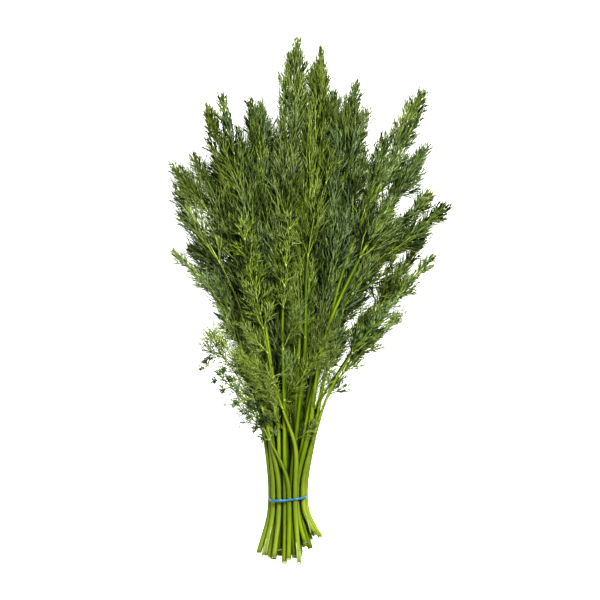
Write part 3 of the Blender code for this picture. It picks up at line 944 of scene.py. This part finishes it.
# It runs straight round, almost without the solid's tilt from top to bottom
level = np.c_[path[:, [0, 2]], np.ones(len(path))]
tilt = np.linalg.lstsq(level, path[:, 1], rcond=None)[0]
path[:, 1] -= BAND_STRAIGHTENED * tilt[1] * (path[:, 2] - path[:, 2].max())
forward = unit(np.roll(path, -1, axis=0) - np.roll(path, 1, axis=0))
outward = unit(path - middle)
outward = unit(outward - np.sum(outward * forward, axis=1, keepdims=True) * forward)
across = np.cross(forward, outward)
# Its twist in radians, and where it is pulled wider and thinner
twist = 0.30 * np.sin(2 * turn + 0.6) + 0.22 * np.sin(5 * turn + 2.0)
pulled = 1 + 0.10 * np.sin(3 * turn + 1.0) + 0.06 * np.sin(7 * turn)
section = np.linspace(0, 2 * np.pi, BAND_CORNERS, endpoint=False)
flat = np.sign(np.cos(section)) * np.abs(np.cos(section)) ** BAND_CORNER_FLAT * BAND_WIDTH / 2
deep = np.sign(np.sin(section)) * np.abs(np.sin(section)) ** BAND_CORNER_FLAT * BAND_THICK / 2
flat, deep = flat[None] * pulled[:, None], deep[None] / pulled[:, None]
a = flat * np.cos(twist)[:, None] - deep * np.sin(twist)[:, None]
b = flat * np.sin(twist)[:, None] + deep * np.cos(twist)[:, None]
rings = path[:, None] + a[..., None] * across[:, None] + b[..., None] * outward[:, None]
here = np.arange(BAND_STATIONS)[:, None]
edge = np.arange(BAND_CORNERS)[None]
after, beside = (here + 1) % BAND_STATIONS, (edge + 1) % BAND_CORNERS
faces = np.stack([here * BAND_CORNERS + edge, after * BAND_CORNERS + edge,
                  after * BAND_CORNERS + beside, here * BAND_CORNERS + beside], axis=-1)
places = np.zeros((BAND_STATIONS, BAND_CORNERS, 4, 2))
places[..., 0, 0] = places[..., 3, 0] = 0.02 + 0.96 * here / BAND_STATIONS
places[..., 1, 0] = places[..., 2, 0] = 0.02 + 0.96 * (here + 1) / BAND_STATIONS
places[..., 0, 1] = places[..., 1, 1] = 0.02 + 0.2 * edge / BAND_CORNERS
places[..., 2, 1] = places[..., 3, 1] = 0.02 + 0.2 * (edge + 1) / BAND_CORNERS

# Blue band rubber: dyed natural rubber, matt from stretching. It gives the one cold colour
# in the bunch, with a paler dusty bloom in patches about 3 mm long and 2 mm wide.
rubber, tree, surface = new_material("blue_band_rubber", 0.55, 0.35, 1.52)
place = node(tree, "ShaderNodeUVMap", uv_map="OFBake").outputs["UV"]
broad = node(tree, "ShaderNodeMapping", {"Scale": (40.0, 12.0, 1.0)}, {"Vector": place})
bloom = node(tree, "ShaderNodeTexNoise", {"Scale": 1.0, "Detail": 4.0, "Roughness": 0.65},
             {"Vector": broad.outputs["Vector"]})
colour = node(tree, "ShaderNodeValToRGB", links={"Fac": bloom.outputs["Fac"]},
              stops=((0.32, "#10324E"), (0.46, "#225070"), (0.6, "#3A6C8A"), (0.75, "#7C9CAC")))
tree.links.new(colour.outputs["Color"], surface.inputs["Base Color"])
bump = node(tree, "ShaderNodeBump", {"Strength": 0.3, "Distance": 0.0001},
            {"Height": bloom.outputs["Fac"]})
tree.links.new(bump.outputs["Normal"], surface.inputs["Normal"])

skin = Skin()
skin.add(rings.reshape(-1, 3), faces.reshape(-1, 4), places, 0)
skin.close(BAND_STATIONS * BAND_CORNERS)
piece = skin.build("band_of_rubber", [rubber])
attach(piece, "root")
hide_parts("rubber_band")


# ----------------------------------------
# Floor, light and camera
# The bunch lies on a white table that glows evenly from below. A soft lamp stands up and to
# the right of it, a weaker and larger one to the left, and the camera looks straight down.
# ----------------------------------------
TABLE_REFLECTS = 0.6
TABLE_GLOW = 0.85
ROOM_LIGHT = 0.15
VIEW_LENGTH = 414 / 363         # of the table in view, to the bunch's length
VIEW_ASIDE = 6.2 * MM           # how far left of the bunch's middle it stands
VIEW_LEVEL = 0.02               # height at which the view has that length

white = linear("#FFFFFF")
bpy.ops.mesh.primitive_plane_add(size=4.0, location=(0, 0, -0.0005))
floor = bpy.context.object
floor.name = "floor"
table, tree, surface = new_material("white_light_table", 0.9, 0.1)
surface.inputs["Base Color"].default_value = (TABLE_REFLECTS,) * 3 + (1.0,)
surface.inputs["Emission Color"].default_value = white
surface.inputs["Emission Strength"].default_value = TABLE_GLOW
floor.data.materials.append(table)

world = bpy.data.worlds.new("studio")
world.use_nodes = True
world.node_tree.nodes["Background"].inputs["Color"].default_value = white
world.node_tree.nodes["Background"].inputs["Strength"].default_value = ROOM_LIGHT
bpy.context.scene.world = world


def lamp(name, place, size, power):
    """A round soft lamp that points at the bunch."""
    light = bpy.data.lights.new(name, "AREA")
    light.shape = "DISK"
    light.size = size
    light.energy = power
    holder = bpy.data.objects.new(name, light)
    holder.location = place
    x, y, z = place
    holder.rotation_euler = (math.atan2(math.hypot(x, y), z), 0, math.atan2(-x, y) + math.pi)
    bpy.context.scene.collection.objects.link(holder)


lamp("key_light", (0.35, 0.45, 1.1), 0.5, 36)
lamp("fill_light", (-0.5, -0.2, 1.2), 1.0, 8)

low, high = cad_box
camera_data = bpy.data.cameras.new("camera")
camera_data.lens = 100.0
camera_data.sensor_width = 36.0
distance = (high[1] - low[1]) * VIEW_LENGTH * camera_data.lens / camera_data.sensor_width
camera = bpy.data.objects.new("camera", camera_data)
camera.location = ((low[0] + high[0]) / 2 - VIEW_ASIDE, 0, VIEW_LEVEL + distance)
bpy.context.scene.collection.objects.link(camera)
bpy.context.scene.camera = camera
bpy.context.scene.view_settings.view_transform = "Standard"
bpy.context.scene.view_settings.look = "High Contrast"
